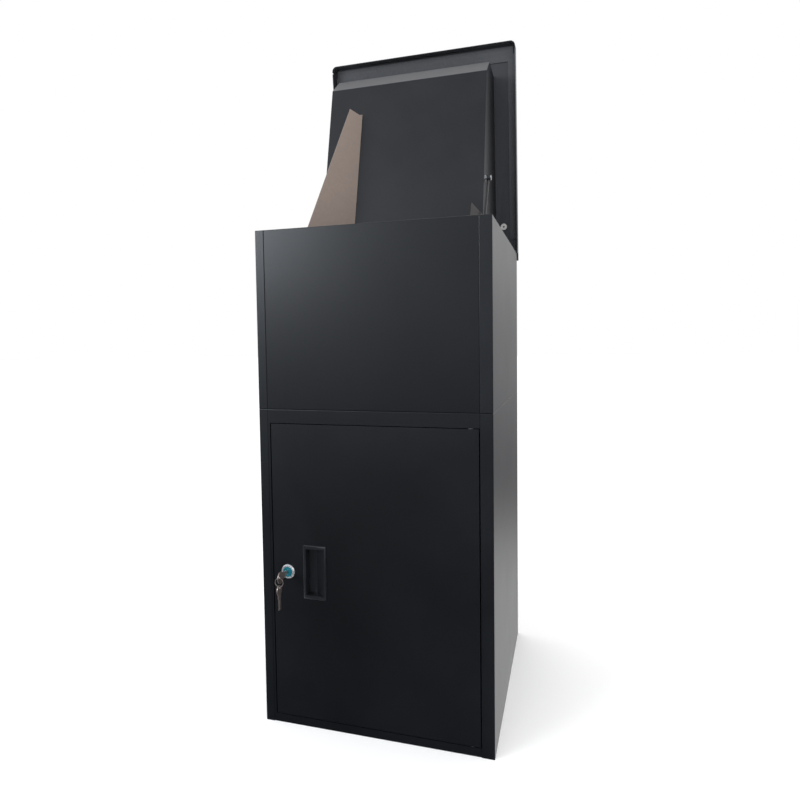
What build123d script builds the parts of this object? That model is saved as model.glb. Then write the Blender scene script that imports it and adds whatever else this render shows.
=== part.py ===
from build123d import *
import os
from math import cos, sin, radians, atan2, degrees, hypot

os.makedirs("parts", exist_ok=True)

# ------------------------------------------------------------------
# Free-standing parcel drop box: a lower locker with a keyed door, an
# upper drop module with a rear-hinged lid that carries the hopper.
# Origin: centre of the base, on the ground.  -Y is the front, +Z up.
# Rest pose: door shut and unlocked, lid standing open.
# ------------------------------------------------------------------

# driving dimensions, mm
W, D, H = 470.0, 500.0, 1000.0      # cabinet body
Z_SPLIT = 644.5                     # joint between the two modules
T = 1.5                             # cabinet sheet
TS = 1.2                            # door, lid and hopper sheet
STILE_L, STILE_R = 19.0, 24.5       # folded front stiles
RIM = 30.0                          # inward rim return of the side panels
BACK_Y = 247.0                      # inner face of the back panels

RAIL_Z0 = 617.0                     # underside of the rail above the door
SILL_Z = 17.5                       # top of the bottom rail

DOOR_X0, DOOR_X1 = -210.0, 209.0
DOOR_Z0, DOOR_Z1 = 19.0, 615.5
DOOR_DEEP = 18.0
PIVOT_X, PIVOT_Y, PIVOT_R = 193.0, -244.0, 2.5

LOCK_X, LOCK_Z = -178.0, 317.0
PLUG_R, HEAD_R = 7.5, 10.0            # barrel of the plug and its wider face
PULL_X0, PULL_X1, PULL_Z0, PULL_Z1 = -144.0, -96.0, 265.5, 373.5
PULL_DEEP = 14.5                    # pocket behind the door's face

HINGE_Y, HINGE_Z = 255.0, 997.0     # lid hinge axis
LID_OPEN = 84.0                     # degrees the lid stands open
KNUCKLE_R, PIN_R = 3.2, 1.5

HOP_X0, HOP_X1 = -199.0, 182.5      # outer faces of the hopper back

FL, FR = -W / 2, W / 2
YF, YB = -D / 2, D / 2

ca, sa = cos(radians(LID_OPEN)), sin(radians(LID_OPEN))
LID = Plane(origin=(0, HINGE_Y, HINGE_Z), x_dir=(1, 0, 0), z_dir=(0, sa, ca))


def bar(x0, x1, y0, y1, z0, z1, mode=Mode.ADD):
    """Box between two corners, in the active builder."""
    with Locations(((x0 + x1) / 2, (y0 + y1) / 2, (z0 + z1) / 2)):
        Box(abs(x1 - x0), abs(y1 - y0), abs(z1 - z0), mode=mode)


def rod_x(x0, x1, y, z, r, mode=Mode.ADD):
    """Cylinder along X."""
    with Locations(Location(((x0 + x1) / 2, y, z), (0, 90, 0))):
        Cylinder(r, abs(x1 - x0), mode=mode)


def rod_y(y0, y1, x, z, r, mode=Mode.ADD):
    """Cylinder along Y."""
    with Locations(Location((x, (y0 + y1) / 2, z), (90, 0, 0))):
        Cylinder(r, abs(y1 - y0), mode=mode)


def rod_z(z0, z1, x, y, r, mode=Mode.ADD):
    """Cylinder along Z."""
    with Locations((x, y, (z0 + z1) / 2)):
        Cylinder(r, abs(z1 - z0), mode=mode)


# positions of fasteners that several pieces share
MODULE_BOLTS = [(x, y) for x in (-221.0, 221.0) for y in (-170.0, 170.0)]
HINGE_RIVETS_X = (-180.0, -60.0, 60.0, 180.0)
HINGE_RIVET_Z = 968.0
LID_RIVET_V = 9.5

# the stay rod keeps its slope while the lid turns, so its peg runs on an
# arc of the same radius as its pin
STAY_X, STAY_L = 191.0, 180.0
STUD_Y, STUD_Z = 39.6, 1140.7
SDY, SDZ = -0.555, -0.832           # from the pin down to the peg
PEG_Y, PEG_Z = STUD_Y + STAY_L * SDY, STUD_Z + STAY_L * SDZ
ARC_Y, ARC_Z = HINGE_Y + STAY_L * SDY, HINGE_Z + STAY_L * SDZ
ARC_R = hypot(STUD_Y - HINGE_Y, STUD_Z - HINGE_Z)
ARC_A0 = degrees(atan2(PEG_Z - ARC_Z, PEG_Y - ARC_Y))     # lid open
ARC_A1 = ARC_A0 + LID_OPEN                                # lid shut

# ------------------------------------------------------------------
# lower module
# ------------------------------------------------------------------
with BuildPart() as lower_left_side:
    bar(FL, FL + T, YF, YB, 0, Z_SPLIT)
    bar(FL, FL + STILE_L, YF, YF + T, 0, Z_SPLIT)
    bar(FL + STILE_L - T, FL + STILE_L, YF, YF + 12, T, Z_SPLIT)
    bar(FL, FL + 20, YB - T, YB, 0, Z_SPLIT)
    bar(FL, FL + RIM, YF + T, BACK_Y, Z_SPLIT - T, Z_SPLIT)
    for bx, by in MODULE_BOLTS:
        if bx < 0:
            rod_z(Z_SPLIT - T - 1, Z_SPLIT + 1, bx, by, 3.05, Mode.SUBTRACT)
    outer = ShapeList()
    for z in (Z_SPLIT,):
        outer += lower_left_side.edges().filter_by(Axis.Y).filter_by_position(Axis.X, FL - .01, FL + .01).filter_by_position(Axis.Z, z - .01, z + .01)
        outer += lower_left_side.edges().filter_by(Axis.X).filter_by_position(Axis.Y, YF - .01, YF + .01).filter_by_position(Axis.Z, z - .01, z + .01)
    outer += lower_left_side.edges().filter_by(Axis.Z).filter_by_position(Axis.Y, YF - .01, YF + .01).filter_by_position(Axis.X, FL - .01, FL + STILE_L + .01)
    outer += lower_left_side.edges().filter_by(Axis.Z).filter_by_position(Axis.Y, YB - .01, YB + .01).filter_by_position(Axis.X, FL - .01, FL + .01)
    fillet(outer, radius=1.3)
lower_left_side.part.label = "lower_left_side"
export_step(lower_left_side.part, "parts/lower_left_side.step")

with BuildPart() as lower_right_side:
    bar(FR - T, FR, YF, YB, 0, Z_SPLIT)
    bar(FR - STILE_R, FR, YF, YF + T, 0, Z_SPLIT)
    bar(FR - STILE_R, FR - STILE_R + T, YF, YF + 12, T, Z_SPLIT)
    bar(FR - 20, FR, YB - T, YB, 0, Z_SPLIT)
    bar(FR - RIM, FR, YF + T, BACK_Y, Z_SPLIT - T, Z_SPLIT)
    for bx, by in MODULE_BOLTS:
        if bx > 0:
            rod_z(Z_SPLIT - T - 1, Z_SPLIT + 1, bx, by, 3.05, Mode.SUBTRACT)
    outer = ShapeList()
    for z in (Z_SPLIT,):
        outer += lower_right_side.edges().filter_by(Axis.Y).filter_by_position(Axis.X, FR - .01, FR + .01).filter_by_position(Axis.Z, z - .01, z + .01)
        outer += lower_right_side.edges().filter_by(Axis.X).filter_by_position(Axis.Y, YF - .01, YF + .01).filter_by_position(Axis.Z, z - .01, z + .01)
    outer += lower_right_side.edges().filter_by(Axis.Z).filter_by_position(Axis.Y, YF - .01, YF + .01).filter_by_position(Axis.X, FR - STILE_R - .01, FR + .01)
    outer += lower_right_side.edges().filter_by(Axis.Z).filter_by_position(Axis.Y, YB - .01, YB + .01).filter_by_position(Axis.X, FR - .01, FR + .01)
    fillet(outer, radius=1.3)
lower_right_side.part.label = "lower_right_side"
export_step(lower_right_side.part, "parts/lower_right_side.step")

with BuildPart() as lower_back_panel:
    bar(FL + T, FR - T, BACK_Y, BACK_Y + T, T, Z_SPLIT)
    for px in (-150.0, 150.0):
        for pz in (150.0, 550.0):
            rod_y(BACK_Y - 1, BACK_Y + T + 1, px, pz, 4.5, Mode.SUBTRACT)
lower_back_panel.part.label = "lower_back_panel"
export_step(lower_back_panel.part, "parts/lower_back_panel.step")

with BuildPart() as floor_pan:
    bar(FL + T, FR - T, YF + T, BACK_Y, 0, T)
    bar(FL + T, FL + 2 * T, YF + T + 14, BACK_Y, 0, 20)
    bar(FR - 2 * T, FR - T, YF + T + 14, BACK_Y, 0, 20)
    bar(FL + T, FR - T, BACK_Y - T, BACK_Y, 0, 20)
    for px in (-160.0, 160.0):
        for py in (-170.0, 170.0):
            rod_z(-1, T + 1, px, py, 6.0, Mode.SUBTRACT)
floor_pan.part.label = "floor_pan"
export_step(floor_pan.part, "parts/floor_pan.step")

# front frame round the door: hinge side is the right stile itself
FX0, FX1 = FL + STILE_L, FR - STILE_R
STRIP = 4.5
with BuildPart() as door_frame:
    bar(FX0, FX1, YF, YF + T, T, SILL_Z)
    bar(FX0, FX1, YF, YF + 12, SILL_Z - T, SILL_Z)
    bar(FX0, FX0 + STRIP, YF, YF + T, T, Z_SPLIT)
    bar(FX0 + STRIP - T, FX0 + STRIP, YF, YF + DOOR_DEEP + 1.9, SILL_Z - T, RAIL_Z0 + T)
    bar(FX0 + STRIP - T, FX0 + 17, YF + DOOR_DEEP + .4, YF + DOOR_DEEP + 1.9, SILL_Z - T, RAIL_Z0 + T)
    bar(FX0, FX1, YF, YF + T, RAIL_Z0, Z_SPLIT)
    bar(FX0, FX1, YF, YF + 12, RAIL_Z0, RAIL_Z0 + T)
    bar(FL + RIM + .3, FR - RIM - .3, YF, YF + 25, Z_SPLIT - T, Z_SPLIT)
    rod_z(SILL_Z - T - 1, SILL_Z + 1, PIVOT_X, PIVOT_Y, PIVOT_R + .01, Mode.SUBTRACT)
    rod_z(RAIL_Z0 - 1, RAIL_Z0 + T + 1, PIVOT_X, PIVOT_Y, PIVOT_R + .01, Mode.SUBTRACT)
    fillet(door_frame.edges().filter_by(Axis.X).filter_by_position(Axis.Y, YF - .01, YF + .01)
           .filter_by_position(Axis.Z, Z_SPLIT - .01, Z_SPLIT + .01), radius=1.3)
door_frame.part.label = "door_frame"
export_step(door_frame.part, "parts/door_frame.step")

with BuildPart() as door_pivot_pins:
    rod_z(SILL_Z - T - 3, 26.0, PIVOT_X, PIVOT_Y, PIVOT_R)
    rod_z(SILL_Z - T - 3, SILL_Z - T, PIVOT_X, PIVOT_Y, 4.5)
    rod_z(608.0, RAIL_Z0 + T + 3, PIVOT_X, PIVOT_Y, PIVOT_R)
    rod_z(RAIL_Z0 + T, RAIL_Z0 + T + 3, PIVOT_X, PIVOT_Y, 4.5)
door_pivot_pins.part.label = "door_pivot_pins"
export_step(door_pivot_pins.part, "parts/door_pivot_pins.step")

# ------------------------------------------------------------------
# upper module
# ------------------------------------------------------------------
with BuildPart() as upper_left_side:
    bar(FL, FL + T, YF, YB, Z_SPLIT, H)
    bar(FL, FL + STILE_L, YF, YF + T, Z_SPLIT, H)
    bar(FL + STILE_L - T, FL + STILE_L, YF, YF + 12, Z_SPLIT, H)
    bar(FL, FL + 20, YB - T, YB, Z_SPLIT, H)
    bar(FL, FL + RIM, YF + T, BACK_Y, H - T, H)
    bar(FL, FL + RIM, YF + T, BACK_Y, Z_SPLIT, Z_SPLIT + T)
    for bx, by in MODULE_BOLTS:
        if bx < 0:
            rod_z(Z_SPLIT - 1, Z_SPLIT + T + 1, bx, by, 3.05, Mode.SUBTRACT)
    outer = ShapeList()
    for z in (Z_SPLIT, H):
        outer += upper_left_side.edges().filter_by(Axis.Y).filter_by_position(Axis.X, FL - .01, FL + .01).filter_by_position(Axis.Z, z - .01, z + .01)
        outer += upper_left_side.edges().filter_by(Axis.X).filter_by_position(Axis.Y, YF - .01, YF + .01).filter_by_position(Axis.Z, z - .01, z + .01)
    outer += upper_left_side.edges().filter_by(Axis.Z).filter_by_position(Axis.Y, YF - .01, YF + .01).filter_by_position(Axis.X, FL - .01, FL + STILE_L + .01)
    outer += upper_left_side.edges().filter_by(Axis.Z).filter_by_position(Axis.Y, YB - .01, YB + .01).filter_by_position(Axis.X, FL - .01, FL + .01)
    fillet(outer, radius=1.3)
upper_left_side.part.label = "upper_left_side"
export_step(upper_left_side.part, "parts/upper_left_side.step")

with BuildPart() as upper_right_side:
    bar(FR - T, FR, YF, YB, Z_SPLIT, H)
    bar(FR - STILE_R, FR, YF, YF + T, Z_SPLIT, H)
    bar(FR - STILE_R, FR - STILE_R + T, YF, YF + 12, Z_SPLIT, H)
    bar(FR - 20, FR, YB - T, YB, Z_SPLIT, H)
    bar(FR - RIM, FR, YF + T, BACK_Y, H - T, H)
    bar(FR - RIM, FR, YF + T, BACK_Y, Z_SPLIT, Z_SPLIT + T)
    for bx, by in MODULE_BOLTS:
        if bx > 0:
            rod_z(Z_SPLIT - 1, Z_SPLIT + T + 1, bx, by, 3.05, Mode.SUBTRACT)
    outer = ShapeList()
    for z in (Z_SPLIT, H):
        outer += upper_right_side.edges().filter_by(Axis.Y).filter_by_position(Axis.X, FR - .01, FR + .01).filter_by_position(Axis.Z, z - .01, z + .01)
        outer += upper_right_side.edges().filter_by(Axis.X).filter_by_position(Axis.Y, YF - .01, YF + .01).filter_by_position(Axis.Z, z - .01, z + .01)
    outer += upper_right_side.edges().filter_by(Axis.Z).filter_by_position(Axis.Y, YF - .01, YF + .01).filter_by_position(Axis.X, FR - STILE_R - .01, FR + .01)
    outer += upper_right_side.edges().filter_by(Axis.Z).filter_by_position(Axis.Y, YB - .01, YB + .01).filter_by_position(Axis.X, FR - .01, FR + .01)
    fillet(outer, radius=1.3)
upper_right_side.part.label = "upper_right_side"
export_step(upper_right_side.part, "parts/upper_right_side.step")

with BuildPart() as upper_back_panel:
    bar(FL + T, FR - T, BACK_Y, BACK_Y + T, Z_SPLIT, H)
    bar(FL + RIM + 2, FR - RIM - 2, BACK_Y - 16, BACK_Y, H - T, H)
    for rx in HINGE_RIVETS_X:
        rod_y(BACK_Y - 1, BACK_Y + T + 1, rx, HINGE_RIVET_Z, 2.05, Mode.SUBTRACT)
upper_back_panel.part.label = "upper_back_panel"
export_step(upper_back_panel.part, "parts/upper_back_panel.step")

with BuildPart() as upper_front_panel:
    bar(FX0, FX1, YF, YF + T, Z_SPLIT, H)
    bar(FX0, FX0 + T, YF, YF + 12, Z_SPLIT + T, H - T)
    bar(FX1 - T, FX1, YF, YF + 12, Z_SPLIT + T, H - T)
    bar(FL + RIM + .3, FR - RIM - .3, YF, YF + 20, H - T, H)
    bar(FL + RIM + .3, FR - RIM - .3, YF, YF + 25, Z_SPLIT, Z_SPLIT + T)
    fillet(upper_front_panel.edges().filter_by_position(Axis.Y, YF - .01, YF + .01), radius=1.3)
upper_front_panel.part.label = "upper_front_panel"
export_step(upper_front_panel.part, "parts/upper_front_panel.step")

with BuildPart() as module_bolts:
    for bx, by in MODULE_BOLTS:
        rod_z(Z_SPLIT - T - 8, Z_SPLIT + T, bx, by, 3.0)
        rod_z(Z_SPLIT + T, Z_SPLIT + T + 4, bx, by, 5.6)
module_bolts.part.label = "module_bolts"
export_step(module_bolts.part, "parts/module_bolts.step")

with BuildPart() as module_nuts:
    for bx, by in MODULE_BOLTS:
        with BuildSketch(Plane.XY.offset(Z_SPLIT - T - 5)):
            with Locations((bx, by)):
                RegularPolygon(5.8, 6)
                Circle(3.0, mode=Mode.SUBTRACT)
        extrude(amount=5)
module_nuts.part.label = "module_nuts"
export_step(module_nuts.part, "parts/module_nuts.step")

# ------------------------------------------------------------------
# door
# ------------------------------------------------------------------
with BuildPart() as door_panel:
    bar(DOOR_X0, DOOR_X1, YF, YF + DOOR_DEEP, DOOR_Z0, DOOR_Z1)
    fillet(door_panel.edges().filter_by(Axis.Z).filter_by_position(Axis.Y, YF - .01, YF + .01), radius=1.4)
    bar(DOOR_X0 + TS, DOOR_X1 - TS, YF + TS, YF + DOOR_DEEP + 1, DOOR_Z0 + TS, DOOR_Z1 - TS, Mode.SUBTRACT)
    bar(PULL_X0 + 3.8, PULL_X1 - 3.8, YF - 1, YF + 3, PULL_Z0 + 4.8, PULL_Z1 - 4.8, Mode.SUBTRACT)
    rod_y(YF - 1, YF + 3, LOCK_X, LOCK_Z, 9.55, Mode.SUBTRACT)
    rod_z(DOOR_Z0 - 1, DOOR_Z1 + 1, PIVOT_X, PIVOT_Y, PIVOT_R + .05, Mode.SUBTRACT)
door_panel.part.label = "door_panel"
export_step(door_panel.part, "parts/door_panel.step")

with BuildPart() as door_stiffener:
    z0, z1 = DOOR_Z0 + 8, DOOR_Z1 - 8
    for s in (-1, 1):
        bar(s * 46.0, s * 30.0, YF + TS, YF + 2 * TS, z0, z1)
        bar(s * 30.0, s * (30.0 - TS), YF + TS, YF + 14, z0, z1)
    bar(-30.0, 30.0, YF + 14 - TS, YF + 14, z0, z1)
door_stiffener.part.label = "door_stiffener"
export_step(door_stiffener.part, "parts/door_stiffener.step")

with BuildPart() as pivot_washers:
    for z0, z1 in ((SILL_Z + .15, DOOR_Z0), (DOOR_Z1, RAIL_Z0 - .3)):
        rod_z(z0, z1, PIVOT_X, PIVOT_Y, 5.0)
        rod_z(z0 - 1, z1 + 1, PIVOT_X, PIVOT_Y, PIVOT_R + .05, Mode.SUBTRACT)
pivot_washers.part.label = "pivot_washers"
export_step(pivot_washers.part, "parts/pivot_washers.step")

# recessed pull with a ramp towards the middle of the door
with BuildPart() as pull_cup:
    bar(PULL_X0, PULL_X1, YF - 2.2, YF, PULL_Z0, PULL_Z1)
    fillet(pull_cup.edges().filter_by(Axis.Y), radius=2.0)
    fillet(pull_cup.faces().sort_by(Axis.Y)[0].edges(), radius=1.0)
    bar(PULL_X0 + 4, PULL_X1 - 4, YF, YF + PULL_DEEP + 1.5, PULL_Z0 + 5, PULL_Z1 - 5)
    with BuildSketch(Plane.XY.offset(PULL_Z0 + 7)):
        with BuildLine():
            Polyline((PULL_X0 + 5.5, YF - 4), (PULL_X0 + 5.5, YF + PULL_DEEP), (PULL_X0 + 23, YF + PULL_DEEP),
                     (PULL_X1 - 3.5, YF - 1.8), (PULL_X1 - 3.5, YF - 4), close=True)
        make_face()
    extrude(amount=PULL_Z1 - PULL_Z0 - 14, mode=Mode.SUBTRACT)
    # the moulding is hollow behind the ramp
    with BuildSketch(Plane.XY.offset(PULL_Z0 + 6.5)):
        with BuildLine():
            Polyline((PULL_X0 + 23, YF + PULL_DEEP + 2.5), (PULL_X1 - 5.5, YF + PULL_DEEP + 2.5),
                     (PULL_X1 - 5.5, YF + 2.6), close=True)
        make_face()
    extrude(amount=PULL_Z1 - PULL_Z0 - 13, mode=Mode.SUBTRACT)
pull_cup.part.label = "pull_cup"
export_step(pull_cup.part, "parts/pull_cup.step")

# ------------------------------------------------------------------
# cam lock, key, ring and spare key
# ------------------------------------------------------------------
with BuildPart() as lock_body:
    rod_y(YF - 3.2, YF, LOCK_X, LOCK_Z, 14.2)
    chamfer(lock_body.faces().sort_by(Axis.Y)[0].edges(), 1.6)
    rod_y(YF, YF + 21, LOCK_X, LOCK_Z, 9.5)
    rod_y(YF - 5, YF + 23, LOCK_X, LOCK_Z, PLUG_R + .05, Mode.SUBTRACT)
    rod_y(YF - 5, YF - 1.2, LOCK_X, LOCK_Z, HEAD_R + .05, Mode.SUBTRACT)
lock_body.part.label = "lock_body"
export_step(lock_body.part, "parts/lock_body.step")

with BuildPart() as lock_nut:
    with BuildSketch(Plane.XZ.offset(-(YF + TS))):
        with Locations((LOCK_X, LOCK_Z)):
            RegularPolygon(14.0, 6)
            Circle(9.5, mode=Mode.SUBTRACT)
    extrude(amount=-4.5)
lock_nut.part.label = "lock_nut"
export_step(lock_nut.part, "parts/lock_nut.step")

with BuildPart() as lock_plug:
    rod_y(YF - 3.6, YF + 22.2, LOCK_X, LOCK_Z, PLUG_R)
    rod_y(YF - 3.6, YF - 1.25, LOCK_X, LOCK_Z, HEAD_R)
    bar(LOCK_X - 2.5, LOCK_X + 2.5, YF + 22.2, YF + 24.2, LOCK_Z - 2.5, LOCK_Z + 2.5)
    bar(LOCK_X - 1.1, LOCK_X + 1.1, YF - 5, YF + 16, LOCK_Z - 3.9, LOCK_Z + 3.9, Mode.SUBTRACT)
    rod_y(YF + 17, YF + 25, LOCK_X, LOCK_Z, 1.7, Mode.SUBTRACT)
lock_plug.part.label = "lock_plug"
export_step(lock_plug.part, "parts/lock_plug.step")

with BuildPart() as lock_cam:
    bar(LOCK_X - 7, LOCK_X + 7, YF + 22.2, YF + 24.2, LOCK_Z - 31, LOCK_Z)
    rod_y(YF + 22.2, YF + 24.2, LOCK_X, LOCK_Z - 31, 7.0)
    rod_y(YF + 22.2, YF + 24.2, LOCK_X, LOCK_Z, 9.0)
    bar(LOCK_X - 2.5, LOCK_X + 2.5, YF + 22, YF + 24.4, LOCK_Z - 2.5, LOCK_Z + 2.5, Mode.SUBTRACT)
lock_cam.part.label = "lock_cam"
export_step(lock_cam.part, "parts/lock_cam.step")

with BuildPart() as cam_screw:
    rod_y(YF + 24.2, YF + 27.0, LOCK_X, LOCK_Z, 4.4)
    chamfer(cam_screw.faces().sort_by(Axis.Y)[-1].edges(), 0.8)
    rod_y(YF + 17.5, YF + 24.2, LOCK_X, LOCK_Z, 1.7)
cam_screw.part.label = "cam_screw"
export_step(cam_screw.part, "parts/cam_screw.step")

KEY_HOLE_Y, KEY_EYE_Z, EYE_R = YF - 40.0, LOCK_Z + 2.5, 2.7
with BuildPart() as key:
    rod_x(LOCK_X - 1.0, LOCK_X + 1.0, KEY_HOLE_Y + 6, LOCK_Z, 11.5)
    bar(LOCK_X - 1.0, LOCK_X + 1.0, KEY_HOLE_Y + 10, YF - 12, LOCK_Z - 5.5, LOCK_Z + 5.5)
    bar(LOCK_X - 1.0, LOCK_X + 1.0, YF - 12, YF + 12, LOCK_Z - 3.6, LOCK_Z + 3.6)
    for i, ny in enumerate((YF + 10, YF + 5.5, YF + 1)):
        bar(LOCK_X - 1.1, LOCK_X + 1.1, ny - 1.2, ny + 1.2, LOCK_Z - 4, LOCK_Z - 2.6 + .5 * (i % 2), Mode.SUBTRACT)
    rod_x(LOCK_X - 2, LOCK_X + 2, KEY_HOLE_Y, KEY_EYE_Z, EYE_R, Mode.SUBTRACT)
key.part.label = "key"
export_step(key.part, "parts/key.step")

RING_R, WIRE_R = 8.4, 0.8
RING_TOP = KEY_EYE_Z - EYE_R + WIRE_R + 0.15  # wire centre inside the key's eye
with BuildPart() as key_ring:
    with Locations(Location((LOCK_X, KEY_HOLE_Y, RING_TOP - RING_R), (90, 0, 0))):
        Torus(RING_R, WIRE_R)
key_ring.part.label = "key_ring"
export_step(key_ring.part, "parts/key_ring.step")

RING_BOT = RING_TOP - 2 * RING_R
SK_HOLE = RING_BOT - EYE_R + WIRE_R + 0.15
with BuildPart() as spare_key:
    rod_x(LOCK_X - 1.0, LOCK_X + 1.0, KEY_HOLE_Y, SK_HOLE - 5.0, 9.8)
    bar(LOCK_X - 1.0, LOCK_X + 1.0, KEY_HOLE_Y - 5.5, KEY_HOLE_Y + 5.5, SK_HOLE - 21, SK_HOLE - 11)
    bar(LOCK_X - 1.0, LOCK_X + 1.0, KEY_HOLE_Y - 3.6, KEY_HOLE_Y + 3.6, SK_HOLE - 44, SK_HOLE - 15)
    for i in range(4):
        nz = SK_HOLE - 26 - 4.5 * i
        bar(LOCK_X - 1.1, LOCK_X + 1.1, KEY_HOLE_Y - 4, KEY_HOLE_Y - 2.6 + .5 * (i % 2), nz - 1.2, nz + 1.2, Mode.SUBTRACT)
    rod_x(LOCK_X - 2, LOCK_X + 2, KEY_HOLE_Y, SK_HOLE, EYE_R, Mode.SUBTRACT)
spare_key.part.label = "spare_key"
export_step(spare_key.part, "parts/spare_key.step")

# ------------------------------------------------------------------
# lid: everything is drawn in the lid's own plane, whose origin is the
# hinge axis, u to the right, v from the front edge to the rear, w out
# of the lid's outer face
# ------------------------------------------------------------------
V0, V1 = -511.0, 15.0               # front edge, rear drip edge
W_IN = 6.0                          # underside of the sheet above the axis
LIP = 27.0                          # depth of the lip below the sheet
U1 = FR + 3.2

with BuildPart() as lid_panel:
    with BuildSketch(LID.offset(W_IN - LIP)):
        with BuildLine():
            l1 = Line((-U1, -4), (-U1, V0 + 12))
            a1 = RadiusArc(l1 @ 1, (-U1 + 12, V0), -12)
            l2 = Line(a1 @ 1, (U1 - 12, V0))
            a2 = RadiusArc(l2 @ 1, (U1, V0 + 12), -12)
            l3 = Line(a2 @ 1, (U1, -4))
            l4 = Line(l3 @ 1, l1 @ 0)
        make_face()
    extrude(amount=LIP + TS)
    fillet(lid_panel.faces().sort_by(Axis((0, HINGE_Y, HINGE_Z), (0, sa, ca)))[-1].edges()
           .filter_by(lambda e: abs((LID.to_local_coords(e @ 0.5)).Y + 4) > 1), radius=1.1)
    with BuildSketch(LID.offset(W_IN - LIP - 1)):
        with BuildLine():
            m1 = Line((-U1 + TS, 20), (-U1 + TS, V0 + 12))
            b1 = RadiusArc(m1 @ 1, (-U1 + 12, V0 + TS), -10.8)
            m2 = Line(b1 @ 1, (U1 - 12, V0 + TS))
            b2 = RadiusArc(m2 @ 1, (U1 - TS, V0 + 12), -10.8)
            m3 = Line(b2 @ 1, (U1 - TS, 20))
            m4 = Line(m3 @ 1, m1 @ 0)
        make_face()
    extrude(amount=LIP + 1, mode=Mode.SUBTRACT)
    with BuildSketch(LID.offset(W_IN)):
        with Locations((0, (V1 - 4) / 2)):
            Rectangle(2 * U1, V1 + 4)
    extrude(amount=TS)
    # corner relief notches in the side flanges
    with BuildSketch(LID.offset(W_IN - LIP - 1)):
        for s in (-1, 1):
            with Locations((s * (U1 - .6), V0 + 16)):
                Rectangle(3, 4)
    extrude(amount=6, mode=Mode.SUBTRACT)
    with BuildSketch(LID.offset(W_IN - 1)):
        for rx in HINGE_RIVETS_X:
            with Locations((rx, LID_RIVET_V)):
                Circle(2.05)
    extrude(amount=4, mode=Mode.SUBTRACT)
lid_panel.part.label = "lid_panel"
export_step(lid_panel.part, "parts/lid_panel.step")

SEAL_T = 2.6
with BuildPart() as lid_seal:
    with BuildSketch(LID.offset(W_IN - SEAL_T)):
        with Locations((0, -489)):
            Rectangle(2 * 231, 34)
        for s in (-1, 1):
            with Locations((s * 227, -265)):
                Rectangle(18, 448)
    extrude(amount=SEAL_T)
lid_seal.part.label = "lid_seal"
export_step(lid_seal.part, "parts/lid_seal.step")

with BuildPart() as lid_buffers:
    for bu in (-209.0, 202.0):
        with BuildSketch(LID.offset(W_IN - 2.6)):
            with Locations((bu, -73)):
                Circle(8.0)
                Circle(2.2, mode=Mode.SUBTRACT)
        extrude(amount=2.6)
lid_buffers.part.label = "lid_buffers"
export_step(lid_buffers.part, "parts/lid_buffers.step")

# piano hinge: seven knuckles on one pin
N_SEG, SEG = 7, 60.0
def seg_span(i):
    x0 = -N_SEG * SEG / 2 + i * SEG
    return x0 + .2, x0 + SEG - .2

with BuildPart() as lid_hinge_body_leaf:
    bar(-210, 210, BACK_Y + T, BACK_Y + T + TS, 955, 998.2)
    for i in range(0, N_SEG, 2):
        s0, s1 = seg_span(i)
        rod_x(s0, s1, HINGE_Y, HINGE_Z, KNUCKLE_R)
        bar(s0, s1, BACK_Y + T + TS - .2, HINGE_Y - 1, HINGE_Z - .6, HINGE_Z + .6)
    rod_x(-215, 215, HINGE_Y, HINGE_Z, PIN_R + .05, Mode.SUBTRACT)
    for rx in HINGE_RIVETS_X:
        rod_y(BACK_Y + T - 1, BACK_Y + T + TS + 1, rx, HINGE_RIVET_Z, 2.05, Mode.SUBTRACT)
lid_hinge_body_leaf.part.label = "lid_hinge_body_leaf"
export_step(lid_hinge_body_leaf.part, "parts/lid_hinge_body_leaf.step")

with BuildPart() as lid_hinge_lid_leaf:
    with BuildSketch(LID.offset(W_IN - TS)):
        with Locations((0, -1)):
            Rectangle(420, 30)
    extrude(amount=TS)
    for i in range(1, N_SEG, 2):
        s0, s1 = seg_span(i)
        rod_x(s0, s1, HINGE_Y, HINGE_Z, KNUCKLE_R)
        with BuildSketch(LID.offset(1.9)):
            with Locations(((s0 + s1) / 2, 0)):
                Rectangle(s1 - s0, 1.2)
        extrude(amount=W_IN - TS - 1.9)
    rod_x(-215, 215, HINGE_Y, HINGE_Z, PIN_R + .05, Mode.SUBTRACT)
    with BuildSketch(LID.offset(W_IN - TS - 1)):
        for rx in HINGE_RIVETS_X:
            with Locations((rx, LID_RIVET_V)):
                Circle(2.05)
    extrude(amount=4, mode=Mode.SUBTRACT)
lid_hinge_lid_leaf.part.label = "lid_hinge_lid_leaf"
export_step(lid_hinge_lid_leaf.part, "parts/lid_hinge_lid_leaf.step")

with BuildPart() as lid_hinge_pin:
    rod_x(-211, 211, HINGE_Y, HINGE_Z, PIN_R)
lid_hinge_pin.part.label = "lid_hinge_pin"
export_step(lid_hinge_pin.part, "parts/lid_hinge_pin.step")

with BuildPart() as body_hinge_rivets:
    for rx in HINGE_RIVETS_X:
        rod_y(BACK_Y - .9, BACK_Y, rx, HINGE_RIVET_Z, 3.6)
        rod_y(BACK_Y, BACK_Y + T + TS, rx, HINGE_RIVET_Z, 2.0)
        rod_y(BACK_Y + T + TS, BACK_Y + T + TS + 1.2, rx, HINGE_RIVET_Z, 3.8)
body_hinge_rivets.part.label = "body_hinge_rivets"
export_step(body_hinge_rivets.part, "parts/body_hinge_rivets.step")

with BuildPart() as lid_hinge_rivets:
    for rx in HINGE_RIVETS_X:
        for w0, h, r in ((W_IN - TS - .9, .9, 3.6), (W_IN - TS, 2 * TS, 2.0), (W_IN + TS, 1.2, 3.8)):
            with BuildSketch(LID.offset(w0)):
                with Locations((rx, LID_RIVET_V)):
                    Circle(r)
            extrude(amount=h)
lid_hinge_rivets.part.label = "lid_hinge_rivets"
export_step(lid_hinge_rivets.part, "parts/lid_hinge_rivets.step")

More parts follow.
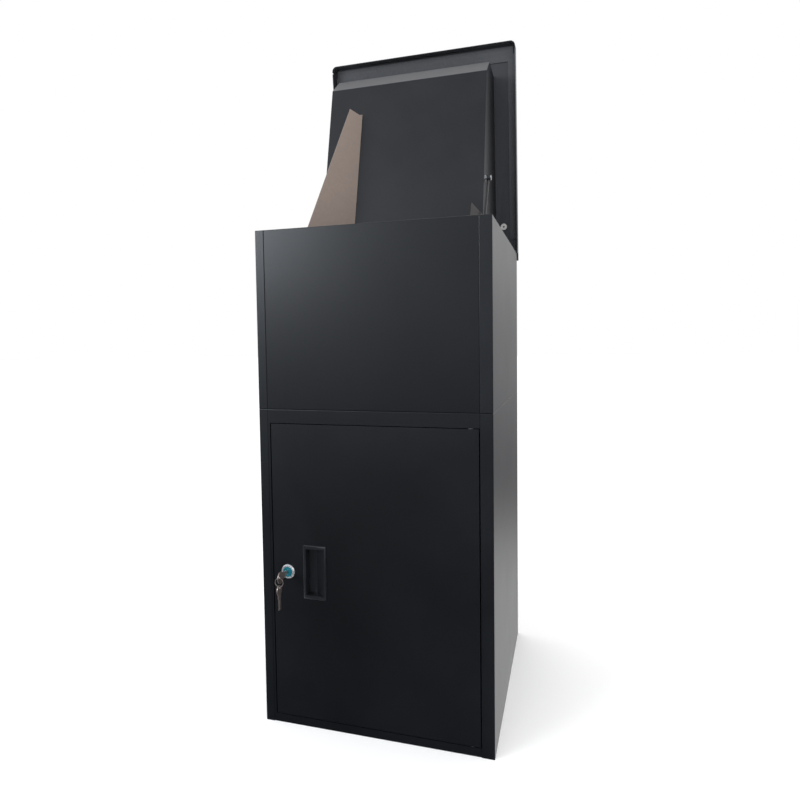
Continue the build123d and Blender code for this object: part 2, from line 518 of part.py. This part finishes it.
# ------------------------------------------------------------------
# hopper, fixed to the lid.  Its pieces are drawn where they stand with
# the lid open.  Section points are (Y, Z).
# ------------------------------------------------------------------
FACE_T = (84.8, 1398.0)             # top of the leaning face
FACE_B = (-9.0, 982.0)              # foot of the face
BEV_T = (131.8, 1437.0)             # top edge of the bevel


def lid_yz(v, w):
    """World (Y, Z) of a lid-plane point."""
    return (HINGE_Y + v * ca + w * sa, HINGE_Z - v * sa + w * ca)


def on_sheet(z):
    """Y of the lid sheet's inner face at height z."""
    v = -(z - HINGE_Z - W_IN * ca) / sa
    return lid_yz(v, W_IN)[0]


# hopper floor: a sloping plate that closes the shaft while the lid is open
FLOOR_F = (-223.0, 957.0)
FLOOR_R = (196.0, 1002.1)
fdy, fdz = FLOOR_R[0] - FLOOR_F[0], FLOOR_R[1] - FLOOR_F[1]
fl = hypot(fdy, fdz)
FN = (-fdz / fl, fdy / fl)          # unit normal, upwards


def on_floor(y, up=0.0):
    t = (y - FLOOR_F[0]) / fdy
    return (y + FN[0] * up, FLOOR_F[1] + t * fdz + FN[1] * up)


RIM_A = (on_sheet(BEV_T[1]), BEV_T[1])
RIM_B = (on_sheet(1050.0), 1050.0)
FOOT_F, FOOT_R = on_floor(-9.1, 1.5), on_floor(196.0, 1.5)
with BuildPart() as hopper_back:
    with BuildSketch(Plane.YZ.offset(HOP_X0)):
        with BuildLine():
            Polyline(BEV_T, FACE_T, FOOT_F, FOOT_R, RIM_B, RIM_A, close=True)
        make_face()
    extrude(amount=HOP_X1 - HOP_X0)
    inner = (lambda p, dy, dz: (p[0] + dy, p[1] + dz))
    with BuildSketch(Plane.YZ.offset(HOP_X0 + TS)):
        with BuildLine():
            Polyline(inner(BEV_T, .45, -TS), inner(FACE_T, TS + .1, -.5), inner(FOOT_F, TS + .05, 0),
                     inner(FOOT_F, TS + .05, -8), inner(FOOT_R, 0, -8), (290.0, 1040.0), (290.0, BEV_T[1] - TS), close=True)
        make_face()
    extrude(amount=HOP_X1 - HOP_X0 - 2 * TS, mode=Mode.SUBTRACT)
hopper_back.part.label = "hopper_back"
export_step(hopper_back.part, "parts/hopper_back.step")

# flanges that fix the hopper back to the lid sheet
with BuildPart() as hopper_brackets:
    for x0, x1 in ((HOP_X0 + TS, HOP_X0 + TS + 14), (HOP_X1 - TS - 14, HOP_X1 - TS)):
        for zc in (1120.0, 1360.0):
            ya, yb = on_sheet(zc - 25), on_sheet(zc + 25)
            with BuildSketch(Plane.YZ.offset(x0)):
                with BuildLine():
                    Polyline((ya, zc - 25), (ya - 1.5, zc - 25), (yb - 1.5, zc + 25), (yb, zc + 25), close=True)
                make_face()
            extrude(amount=x1 - x0)
            xw = x0 if x0 < 0 else x1 - 1.5
            with BuildSketch(Plane.YZ.offset(xw)):
                with BuildLine():
                    Polyline((ya - 1.5, zc - 25), (ya - 16, zc - 25), (yb - 16, zc + 25), (yb - 1.5, zc + 25), close=True)
                make_face()
            extrude(amount=1.5)
hopper_brackets.part.label = "hopper_brackets"
export_step(hopper_brackets.part, "parts/hopper_brackets.step")

with BuildPart() as hopper_floor:
    with BuildSketch(Plane.YZ.offset(HOP_X0)):
        with BuildLine():
            Polyline(FLOOR_F, FLOOR_R, on_floor(196.0, 1.5), on_floor(-208.0, 1.5), on_floor(-208.0, 3.0),
                     on_floor(-223.0, 3.0), close=True)
        make_face()
    extrude(amount=HOP_X1 - HOP_X0)
hopper_floor.part.label = "hopper_floor"
export_step(hopper_floor.part, "parts/hopper_floor.step")

# tall wing on the left, folded plate standing between floor and face
PF, PA, PB = Vector(-187.8, -91.6, 1044.3), Vector(-136.9, 39.9, 1331.6), Vector(-120.8, 59.9, 1323.1)
wing_n = (PA - PF).cross(PB - PF).normalized()
if wing_n.X < 0:
    wing_n = wing_n * -1

def on_wing(y, z):
    """X on the wing's plane."""
    return PF.X - (wing_n.Y * (y - PF.Y) + wing_n.Z * (z - PF.Z)) / wing_n.X


def face_y(z):
    """Y of the leaning face at height z."""
    return FACE_T[0] - (FACE_T[1] - z) * (FACE_T[0] - FACE_B[0]) / (FACE_T[1] - FACE_B[1])


def edge_at_x(x):
    """Point of the wing's front edge at a given X."""
    t = (x - PF.X) / (PA.X - PF.X)
    return PF + (PA - PF) * t


X_TRIM = HOP_X0 + 1.4
P_TRIM = edge_at_x(X_TRIM)
yq = P_TRIM.Y
while on_wing(yq, on_floor(yq, 1.85)[1]) < X_TRIM:
    yq += 0.05
P_FOOT = Vector(on_wing(yq, on_floor(yq, 1.85)[1]), yq, on_floor(yq, 1.85)[1])

zt = PB.Z + 2
P_TOP = Vector(on_wing(face_y(zt) - .9, zt), face_y(zt) - .9, zt)
zb = on_floor(face_y(981.6) - .85, 1.85)[1]
P_BOT = Vector(on_wing(face_y(zb) - .9, zb), face_y(zb) - .9, zb)
WING = Plane(origin=P_FOOT, x_dir=(P_BOT - P_FOOT).normalized(), z_dir=wing_n)
with BuildPart() as hopper_left_wing:
    with BuildSketch(WING):
        with BuildLine():
            pts = [WING.to_local_coords(p) for p in (P_FOOT, P_BOT, P_TOP, PB, PA, P_TRIM)]
            Polyline(*[(p.X, p.Y) for p in pts], close=True)
        make_face()
    extrude(amount=-1.2)
hopper_left_wing.part.label = "hopper_left_wing"
export_step(hopper_left_wing.part, "parts/hopper_left_wing.step")

# low cheek on the right
with BuildPart() as hopper_right_cheek:
    with BuildSketch(Plane.YZ.offset(HOP_X1 - TS)):
        with BuildLine():
            Polyline(on_floor(-200.0, 1.55), on_floor(-172.0, 40), (-150.0, 1046.0), (face_y(1053.0) - .2, 1053.0),
                     (face_y(981.2) - .2, on_floor(face_y(981.2), 1.55)[1]), close=True)
        make_face()
    extrude(amount=TS)
hopper_right_cheek.part.label = "hopper_right_cheek"
export_step(hopper_right_cheek.part, "parts/hopper_right_cheek.step")

# ------------------------------------------------------------------
# stay rod on the right, its pin on the hopper and its slotted guide on
# the cabinet wall
# ------------------------------------------------------------------
with BuildPart() as stay_pin:
    rod_x(HOP_X1, HOP_X1 + 2.6, STUD_Y, STUD_Z, 7.0)
    rod_x(HOP_X1, 195.2, STUD_Y, STUD_Z, 4.0)
    rod_x(195.2, 197.6, STUD_Y, STUD_Z, 5.5)
    chamfer(stay_pin.faces().sort_by(Axis.X)[-1].edges(), 0.8)
stay_pin.part.label = "stay_pin"
export_step(stay_pin.part, "parts/stay_pin.step")

ROD = Plane(origin=(STAY_X, STUD_Y, STUD_Z), x_dir=(1, 0, 0), z_dir=(0, SDY, SDZ))
with BuildPart() as stay_rod:
    rod_x(STAY_X - 3.5, STAY_X + 3.5, STUD_Y, STUD_Z, 7.0)
    rod_x(STAY_X - 3.5, STAY_X + 3.5, PEG_Y, PEG_Z, 6.0)
    with BuildSketch(ROD.offset(5.5)):
        Circle(2.6)
    extrude(amount=STAY_L - 9.5)
    rod_x(STAY_X + 3.5, 203.4, PEG_Y, PEG_Z, 3.0)
    rod_x(202.0, 203.4, PEG_Y, PEG_Z, 5.0)
    rod_x(STAY_X - 5, STAY_X + 5, STUD_Y, STUD_Z, 4.05, Mode.SUBTRACT)
stay_rod.part.label = "stay_rod"
export_step(stay_rod.part, "parts/stay_rod.step")


def on_arc(r, a):
    return (ARC_Y + r * cos(radians(a)), ARC_Z + r * sin(radians(a)))


def band(half, a0, a1, r_mid=ARC_R):
    """Closed outline of an arc band in (Y, Z)."""
    am = (a0 + a1) / 2
    ThreePointArc(on_arc(r_mid - half, a0), on_arc(r_mid - half, am), on_arc(r_mid - half, a1))
    ThreePointArc(on_arc(r_mid - half, a1), on_arc(r_mid, a1 + degrees(half / r_mid)), on_arc(r_mid + half, a1))
    ThreePointArc(on_arc(r_mid + half, a1), on_arc(r_mid + half, am), on_arc(r_mid + half, a0))
    ThreePointArc(on_arc(r_mid + half, a0), on_arc(r_mid, a0 - degrees(half / r_mid)), on_arc(r_mid - half, a0))


G_X0, G_X1 = 199.2, 201.2
G_HALF = 10.0
with BuildPart() as stay_guide:
    with BuildSketch(Plane.YZ.offset(G_X0)):
        with BuildLine():
            band(G_HALF, ARC_A0 + .6, ARC_A1 - .9)
        make_face()
    extrude(amount=G_X1 - G_X0)
    for a in (153.0, 187.0, 221.0):
        p = [on_arc(ARC_R + G_HALF - 2.0, a - 2.6), on_arc(ARC_R + G_HALF - .2, a - 2.6),
             on_arc(ARC_R + G_HALF - .2, a + 2.6), on_arc(ARC_R + G_HALF - 2.0, a + 2.6)]
        with BuildSketch(Plane.YZ.offset(G_X1 - .5)):
            with BuildLine():
                Polyline(*p, close=True)
            make_face()
        extrude(amount=FR - T - G_X1 + .5)
        q = [on_arc(ARC_R + G_HALF - 2.0, a - 2.6), on_arc(ARC_R + G_HALF + 14, a - 2.6),
             on_arc(ARC_R + G_HALF + 14, a + 2.6), on_arc(ARC_R + G_HALF - 2.0, a + 2.6)]
        with BuildSketch(Plane.YZ.offset(FR - T - 2.0)):
            with BuildLine():
                Polyline(*q, close=True)
            make_face()
        extrude(amount=2.0)
    with BuildSketch(Plane.YZ.offset(G_X0 - 1)):
        with BuildLine():
            band(3.3, ARC_A0, ARC_A1)
        make_face()
    extrude(amount=G_X1 - G_X0 + 2, mode=Mode.SUBTRACT)
stay_guide.part.label = "stay_guide"
export_step(stay_guide.part, "parts/stay_guide.step")
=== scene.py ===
import math
import bpy
from mathutils import Matrix, Vector

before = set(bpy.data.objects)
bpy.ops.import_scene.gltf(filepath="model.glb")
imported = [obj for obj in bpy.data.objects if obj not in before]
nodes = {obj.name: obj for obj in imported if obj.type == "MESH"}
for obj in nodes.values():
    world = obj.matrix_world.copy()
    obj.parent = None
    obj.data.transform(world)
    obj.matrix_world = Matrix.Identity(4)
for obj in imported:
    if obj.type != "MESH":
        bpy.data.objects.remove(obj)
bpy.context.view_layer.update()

scene = bpy.context.scene

# ------------------------------------------------------------------
# small node helpers
# ------------------------------------------------------------------


def new_material(name):
    m = bpy.data.materials.new(name)
    m.use_nodes = True
    nt = m.node_tree
    nt.nodes.clear()
    out = nt.nodes.new("ShaderNodeOutputMaterial")
    bs = nt.nodes.new("ShaderNodeBsdfPrincipled")
    nt.links.new(bs.outputs["BSDF"], out.inputs["Surface"])
    return m, nt, bs


def coords(nt, scale=(1, 1, 1), rot=(0, 0, 0)):
    tc = nt.nodes.new("ShaderNodeTexCoord")
    mp = nt.nodes.new("ShaderNodeMapping")
    mp.inputs["Scale"].default_value = scale
    mp.inputs["Rotation"].default_value = rot
    nt.links.new(tc.outputs["Object"], mp.inputs["Vector"])
    return mp.outputs["Vector"]


def noise(nt, vec, scale, detail=2.0, rough=0.5):
    n = nt.nodes.new("ShaderNodeTexNoise")
    n.inputs["Scale"].default_value = scale
    n.inputs["Detail"].default_value = detail
    n.inputs["Roughness"].default_value = rough
    nt.links.new(vec, n.inputs["Vector"])
    return n.outputs["Fac"]


def ramp(nt, fac, stops):
    r = nt.nodes.new("ShaderNodeValToRGB")
    el = r.color_ramp.elements
    while len(el) < len(stops):
        el.new(0.5)
    for e, (p, c) in zip(el, stops):
        e.position = p
        e.color = c if len(c) == 4 else (*c, 1)
    nt.links.new(fac, r.inputs["Fac"])
    return r.outputs["Color"]


def spread(nt, fac, lo, hi, a=0.3, b=0.7):
    m = nt.nodes.new("ShaderNodeMapRange")
    m.inputs["From Min"].default_value = a
    m.inputs["From Max"].default_value = b
    m.inputs["To Min"].default_value = lo
    m.inputs["To Max"].default_value = hi
    nt.links.new(fac, m.inputs["Value"])
    return m.outputs["Result"]


def mix(nt, fac, a, b, mode="MIX"):
    m = nt.nodes.new("ShaderNodeMix")
    m.data_type = "RGBA"
    m.blend_type = mode
    for sock, val in ((m.inputs["Factor"], fac), (m.inputs["A"], a), (m.inputs["B"], b)):
        if isinstance(val, (int, float)):
            sock.default_value = val
        elif isinstance(val, (tuple, list)):
            sock.default_value = (*val, 1) if len(val) == 3 else val
        else:
            nt.links.new(val, sock)
    return m.outputs["Result"]


def bump(nt, height, strength, distance, normal=None):
    b = nt.nodes.new("ShaderNodeBump")
    b.inputs["Strength"].default_value = strength
    b.inputs["Distance"].default_value = distance
    nt.links.new(height, b.inputs["Height"])
    if normal is not None:
        nt.links.new(normal, b.inputs["Normal"])
    return b.outputs["Normal"]


def edge_wear_and_highlight(nt, lo, hi):
    """Brighter along convex edges, from the mesh's own pointiness: edge wear on powder coat, painted highlight on
    plastic.
    """
    g = nt.nodes.new("ShaderNodeNewGeometry")
    return spread(nt, g.outputs["Pointiness"], 0.0, 1.0, lo, hi)


# ------------------------------------------------------------------
# materials
# ------------------------------------------------------------------
def powder_coat(name, base, rough=0.36, spec=0.5, peel=1.0, coat=0.0):
    m, nt, bs = new_material(name)
    v = coords(nt)
    cloud = noise(nt, v, 3.1, 3.0, 0.55)
    speck = noise(nt, v, 900.0, 2.0, 0.6)
    grime = noise(nt, v, 5.0, 5.0, 0.62)
    dark = tuple(c * 0.86 for c in base)
    light = tuple(min(1, c * 1.16 + 0.0006) for c in base)
    col = ramp(nt, cloud, [(0.30, dark), (0.70, light)])
    col = mix(nt, spread(nt, speck, 0.0, 0.22, 0.55, 0.75), col, tuple(c * 1.9 for c in base))
    wear = nt.nodes.new("ShaderNodeMath"); wear.operation = "MULTIPLY"
    nt.links.new(edge_wear_and_highlight(nt, 0.545, 0.64), wear.inputs[0])
    nt.links.new(spread(nt, grime, 0.15, 0.75), wear.inputs[1])
    col = mix(nt, wear.outputs[0], col, tuple(c * 2.6 for c in base))
    nt.links.new(col, bs.inputs["Base Color"])
    nt.links.new(spread(nt, grime, rough - 0.012, rough + 0.018), bs.inputs["Roughness"])
    bs.inputs["Specular IOR Level"].default_value = spec
    bs.inputs["IOR"].default_value = 1.5
    if coat:
        bs.inputs["Coat Weight"].default_value = coat
        bs.inputs["Coat Roughness"].default_value = 0.25
    n1 = bump(nt, noise(nt, v, 260.0, 2.0, 0.5), 0.10 * peel, 0.0006)
    n2 = bump(nt, noise(nt, v, 1400.0, 1.0, 0.5), 0.07 * peel, 0.0002, n1)
    nt.links.new(n2, bs.inputs["Normal"])
    return m


def galvanised(name, base, rough=0.42):
    m, nt, bs = new_material(name)
    v = coords(nt)
    vor = nt.nodes.new("ShaderNodeTexVoronoi")
    vor.feature = "F1"
    vor.inputs["Scale"].default_value = 130.0
    vor.inputs["Randomness"].default_value = 1.0
    warp = nt.nodes.new("ShaderNodeMix"); warp.data_type = "VECTOR"
    warp.inputs["Factor"].default_value = 0.08
    nt.links.new(v, warp.inputs["A"])
    nz = nt.nodes.new("ShaderNodeTexNoise"); nz.inputs["Scale"].default_value = 22.0
    nt.links.new(v, nz.inputs["Vector"]); nt.links.new(nz.outputs["Color"], warp.inputs["B"])
    nt.links.new(warp.outputs["Result"], vor.inputs["Vector"])
    bw = nt.nodes.new("ShaderNodeRGBToBW")
    nt.links.new(vor.outputs["Color"], bw.inputs["Color"])
    spangle = bw.outputs["Val"]
    col = ramp(nt, spangle, [(0.2, tuple(c * 0.965 for c in base)), (0.8, tuple(c * 1.03 for c in base))])
    col = mix(nt, spread(nt, noise(nt, v, 6.0, 5.0, 0.6), 0.0, 0.22), col, tuple(c * 0.82 for c in base))
    nt.links.new(col, bs.inputs["Base Color"])
    bs.inputs["Metallic"].default_value = 0.30
    nt.links.new(spread(nt, spangle, rough - 0.03, rough + 0.05, 0.1, 0.9), bs.inputs["Roughness"])
    lines = noise(nt, coords(nt, (1.0, 0.06, 1.0)), 900.0, 1.0, 0.5)
    n1 = bump(nt, spangle, 0.05, 0.0003)
    nt.links.new(bump(nt, lines, 0.05, 0.0002, n1), bs.inputs["Normal"])
    return m


def zinc(name, base=(0.60, 0.61, 0.63), rough=0.30):
    m, nt, bs = new_material(name)
    v = coords(nt)
    smear = noise(nt, v, 40.0, 4.0, 0.6)
    col = ramp(nt, smear, [(0.3, tuple(c * 0.85 for c in base)), (0.7, base)])
    nt.links.new(col, bs.inputs["Base Color"])
    bs.inputs["Metallic"].default_value = 0.85
    nt.links.new(spread(nt, smear, rough - 0.05, rough + 0.12), bs.inputs["Roughness"])
    nt.links.new(bump(nt, noise(nt, coords(nt, (1, 1, 12)), 500.0, 2.0), 0.06, 0.0002), bs.inputs["Normal"])
    return m


def chrome(name):
    m, nt, bs = new_material(name)
    v = coords(nt)
    haze = noise(nt, v, 120.0, 4.0, 0.6)
    col = ramp(nt, haze, [(0.3, (0.74, 0.75, 0.77)), (0.7, (0.86, 0.87, 0.88))])
    nt.links.new(col, bs.inputs["Base Color"])
    bs.inputs["Metallic"].default_value = 0.80
    nt.links.new(spread(nt, haze, 0.14, 0.26), bs.inputs["Roughness"])
    nt.links.new(bump(nt, noise(nt, v, 700.0, 3.0), 0.05, 0.0002), bs.inputs["Normal"])
    return m


def plastic(name, base, rough, grain=1400.0, strength=0.12, spec=0.45, coat=0.0, painted_edge_highlight=0.0):
    m, nt, bs = new_material(name)
    v = coords(nt)
    c1 = noise(nt, v, 25.0, 3.0, 0.55)
    col = ramp(nt, c1, [(0.3, tuple(c * 0.85 for c in base)), (0.7, tuple(min(1, c * 1.12) for c in base))])
    # painted highlight: convex edges of the plastic are drawn lighter to stand in for highlights along them
    if painted_edge_highlight:
        col = mix(nt, edge_wear_and_highlight(nt, 0.53, 0.60), col, tuple(c * painted_edge_highlight for c in base))
    nt.links.new(col, bs.inputs["Base Color"])
    nt.links.new(spread(nt, c1, rough - 0.04, rough + 0.06), bs.inputs["Roughness"])
    bs.inputs["Specular IOR Level"].default_value = spec
    if coat:
        bs.inputs["Coat Weight"].default_value = coat
        bs.inputs["Coat Roughness"].default_value = 0.08
    nt.links.new(bump(nt, noise(nt, v, grain, 2.0), strength, 0.0002), bs.inputs["Normal"])
    return m


def foam(name, base):
    m, nt, bs = new_material(name)
    v = coords(nt)
    cells = nt.nodes.new("ShaderNodeTexVoronoi")
    cells.inputs["Scale"].default_value = 900.0
    nt.links.new(v, cells.inputs["Vector"])
    col = ramp(nt, cells.outputs["Distance"], [(0.1, tuple(c * 0.6 for c in base)), (0.7, tuple(c * 1.4 for c in base))])
    nt.links.new(col, bs.inputs["Base Color"])
    bs.inputs["Roughness"].default_value = 0.82
    bs.inputs["Specular IOR Level"].default_value = 0.25
    nt.links.new(bump(nt, cells.outputs["Distance"], 0.35, 0.0005), bs.inputs["Normal"])
    return m


BLACK = (0.0026, 0.0031, 0.0042)
MAT = {
    "body": powder_coat("powder_coat_black", BLACK, 0.34),
    "door": powder_coat("powder_coat_black_door", tuple(c * 0.92 for c in BLACK), 0.37),
    # painted light: the lid is the body's black powder coat drawn about ten times lighter to stand in for the
    # light on its inner face
    "lid": powder_coat("powder_coat_black_lid_painted_light", (0.027, 0.0283, 0.0330), 0.42),
    "hopper": powder_coat("powder_coat_hopper", (0.0050, 0.0054, 0.0068), 0.42),
    # painted shade: the right cheek is galvanised sheet, drawn as a dark brownish matt coat to stand in for shade,
    # with a painted reflection of brown cardboard
    "cheek": powder_coat("hopper_cheek_painted_shade", (0.0125, 0.0100, 0.0092), 0.55, spec=0.2),
    # galvanised sheet given a brown tint: a painted reflection of cardboard beside it, on top of the sheet's own
    # grey
    "galv": galvanised("galvanised_sheet", (0.250, 0.200, 0.171)),
    "guide": galvanised("galvanised_strip", (0.42, 0.42, 0.42)),
    "zinc": zinc("zinc_plate"),
    "chrome": chrome("chrome_plate"),
    "nickel": zinc("key_nickel", (0.34, 0.29, 0.27), 0.36),
    "core": plastic("lock_core_teal", (0.006, 0.088, 0.122), 0.16, 500.0, 0.03, 0.6, 0.6),
    # the pull's plastic gets a painted highlight along its convex edges
    "plastic": plastic("moulded_black_plastic", (0.0078, 0.0086, 0.0104), 0.32, 1100.0, 0.10, painted_edge_highlight=9.0),
    "foam": foam("foam_seal", (0.050, 0.052, 0.057)),
    "buffer": plastic("buffer_grey_plastic", (0.50, 0.50, 0.49), 0.38, 900.0, 0.05),
    "rod": powder_coat("rod_black", (0.008, 0.008, 0.009), 0.30, peel=0.4),
}
USE = {
    "lower_left_side": "body", "lower_right_side": "body", "lower_back_panel": "body", "floor_pan": "body",
    "door_frame": "body", "upper_left_side": "body", "upper_right_side": "body", "upper_back_panel": "body",
    "upper_front_panel": "body", "door_panel": "door", "door_stiffener": "door", "lid_panel": "lid",
    "hopper_back": "hopper", "hopper_brackets": "hopper", "hopper_right_cheek": "cheek",
    "hopper_floor": "galv", "hopper_left_wing": "galv", "stay_guide": "guide",
    "door_pivot_pins": "zinc", "module_bolts": "zinc", "module_nuts": "zinc", "lid_hinge_body_leaf": "zinc",
    "lid_hinge_pin": "zinc", "body_hinge_rivets": "zinc", "lid_hinge_lid_leaf": "zinc", "lid_hinge_rivets": "zinc",
    "lock_nut": "zinc", "pivot_washers": "plastic", "lock_cam": "zinc", "cam_screw": "zinc", "stay_pin": "zinc",
    "lock_body": "chrome", "key": "nickel", "key_ring": "nickel", "spare_key": "nickel",
    "lock_plug": "core", "pull_cup": "plastic", "lid_seal": "foam", "lid_buffers": "buffer", "stay_rod": "rod",
}
BEVEL = {  # metres, well under each sheet's thickness
    "lock_body": 0.0004, "lock_plug": 0.0003, "key": 0.00025, "spare_key": 0.00025, "pull_cup": 0.0006,
    "lock_nut": 0.0004, "lock_cam": 0.0003, "module_bolts": 0.0005, "module_nuts": 0.0005, "stay_pin": 0.0003,
    "stay_rod": 0.0005, "lid_buffers": 0.0006, "key_ring": 0.0,
}
for name, ob in nodes.items():
    mat = MAT[USE[name]]
    if not ob.material_slots:
        ob.data.materials.append(mat)
    for s in ob.material_slots:
        s.material = mat
    w = BEVEL.get(name, 0.0004)
    if w:
        md = ob.modifiers.new("soft_edges", "BEVEL")
        md.width = w
        md.segments = 2
        md.limit_method = "ANGLE"
        md.angle_limit = math.radians(35)
        md.harden_normals = True

# ------------------------------------------------------------------
# stage and light
# ------------------------------------------------------------------


def stage_material(name, col, rough):
    m, nt, bs = new_material(name)
    v = coords(nt)
    c = ramp(nt, noise(nt, v, 2.0, 3.0), [(0.3, tuple(x * 0.99 for x in col)), (0.7, col)])
    nt.links.new(c, bs.inputs["Base Color"])
    bs.inputs["Roughness"].default_value = rough
    bs.inputs["Specular IOR Level"].default_value = 0.2
    bs.inputs["Emission Color"].default_value = (1, 1, 1, 1)
    bs.inputs["Emission Strength"].default_value = 0.06
    return m


bpy.ops.mesh.primitive_plane_add(size=60, location=(0, 0, 0))
floor = bpy.context.object
floor.name = "studio_floor"
floor.data.materials.append(stage_material("studio_floor_white", (0.94, 0.94, 0.94), 0.6))

ROOM_DIFFUSE = 1.18
world = bpy.data.worlds.new("studio")
scene.world = world
world.use_nodes = True
wt = world.node_tree
bg = wt.nodes["Background"]
bg.inputs["Strength"].default_value = 1.0
# the room: a bright sweep behind the object and a dim room in front of it
tcw = wt.nodes.new("ShaderNodeTexCoord")
sep = wt.nodes.new("ShaderNodeSeparateXYZ")
wt.links.new(tcw.outputs["Generated"], sep.inputs["Vector"])


def sky(stops):
    """Grey level against the height of the direction, -1 straight down to 1 straight up."""
    m = wt.nodes.new("ShaderNodeMapRange")
    m.inputs["From Min"].default_value = -1.0
    m.inputs["From Max"].default_value = 1.0
    wt.links.new(sep.outputs["Z"], m.inputs["Value"])
    r = wt.nodes.new("ShaderNodeValToRGB")
    r.color_ramp.interpolation = "EASE"
    el = r.color_ramp.elements
    while len(el) < len(stops):
        el.new(0.5)
    for e, (z, c) in zip(el, stops):
        e.position = (z + 1) / 2
        e.color = (c[0], c[1], c[2], 1)
    wt.links.new(m.outputs["Result"], r.inputs["Fac"])
    return r.outputs["Color"]


front = sky([(-0.55, (0.003, 0.003, 0.004)), (-0.20, (0.012, 0.013, 0.016)), (0.12, (0.56, 0.60, 0.67)), (0.55, (0.42, 0.44, 0.48))])
back = sky([(-0.60, (0.98, 0.98, 0.98)), (-0.38, (0.92, 0.92, 0.92)), (-0.22, (0.30, 0.30, 0.31)), (-0.02, (0.55, 0.55, 0.56)),
            (0.20, (0.90, 0.90, 0.91)), (0.85, (1.45, 1.46, 1.50))])
mry = wt.nodes.new("ShaderNodeMapRange")
mry.interpolation_type = "SMOOTHSTEP"
mry.inputs["From Min"].default_value = -0.35
mry.inputs["From Max"].default_value = 0.45
wt.links.new(sep.outputs["Y"], mry.inputs["Value"])
room = wt.nodes.new("ShaderNodeMix")
room.data_type = "RGBA"
wt.links.new(mry.outputs["Result"], room.inputs["Factor"])
wt.links.new(front, room.inputs["A"])
wt.links.new(back, room.inputs["B"])
lp = wt.nodes.new("ShaderNodeLightPath")
mg = wt.nodes.new("ShaderNodeMix")
mg.data_type = "RGBA"
mg.inputs["A"].default_value = (ROOM_DIFFUSE, ROOM_DIFFUSE, ROOM_DIFFUSE, 1)
wt.links.new(lp.outputs["Is Glossy Ray"], mg.inputs["Factor"])
wt.links.new(room.outputs["Result"], mg.inputs["B"])
mc = wt.nodes.new("ShaderNodeMix")
mc.data_type = "RGBA"
wt.links.new(lp.outputs["Is Camera Ray"], mc.inputs["Factor"])
wt.links.new(mg.outputs["Result"], mc.inputs["A"])
mc.inputs["B"].default_value = (1.0, 1.0, 1.0, 1)
wt.links.new(mc.outputs["Result"], bg.inputs["Color"])
world.cycles.sampling_method = "NONE"
floor.visible_glossy = False


def area(name, loc, target, size, power, size_y=None, color=(1, 1, 1)):
    d = bpy.data.lights.new(name, "AREA")
    d.energy = power
    d.color = color
    d.size = size
    if size_y:
        d.shape = "RECTANGLE"
        d.size_y = size_y
    o = bpy.data.objects.new(name, d)
    scene.collection.objects.link(o)
    o.location = loc
    o.rotation_euler = (Vector(target) - Vector(loc)).to_track_quat("-Z", "Y").to_euler()
    return o


area("key_light", (-2.15, -2.2, 1.85), (-0.1, -0.2, 1.0), 1.9, 58, 1.1, (0.88, 0.94, 1.0))
area("fill_light", (2.6, -1.6, 1.8), (0, 0, 0.7), 1.6, 7, 1.6)
# light thrown up by the floor in front, soft enough to leave no reflection
bounce = area("bounce_light", (0.5, -1.9, 0.5), (0.0, 0.2, 1.45), 1.8, 17, 1.0)
bounce.visible_glossy = False

# ------------------------------------------------------------------
# camera
# ------------------------------------------------------------------
PITCH, ROLL, YAW = math.radians(2.84), math.radians(-0.75), math.radians(16.05)
cx, sx, cy, sy, cz, sz = (math.cos(PITCH), math.sin(PITCH), math.cos(ROLL), math.sin(ROLL), math.cos(YAW), math.sin(YAW))
B = Matrix(((1, 0, 0), (0, 0, -1), (0, 1, 0)))
MY = Matrix(((cz, sz, 0), (-sz, cz, 0), (0, 0, 1)))
MP = Matrix(((1, 0, 0), (0, cx, -sx), (0, sx, cx)))
MR = Matrix(((cy, -sy, 0), (sy, cy, 0), (0, 0, 1)))
M = MR @ MP @ B @ MY
cam_data = bpy.data.cameras.new("camera")
cam_data.sensor_width = 36.0
cam_data.lens = 593.0 * 36.0 / 800.0
cam_data.shift_x = 0.0
cam_data.shift_y = -28.3 / 800.0
cam_data.clip_start = 0.05
cam_data.clip_end = 100
cam = bpy.data.objects.new("camera", cam_data)
scene.collection.objects.link(cam)
rot = Matrix((M[0], -M[1], -M[2])).transposed()
cam.matrix_world = Matrix.Translation((0.368, -1.315, 0.775)) @ rot.to_4x4()
scene.camera = cam

scene.view_settings.view_transform = "Standard"
scene.view_settings.look = "None"
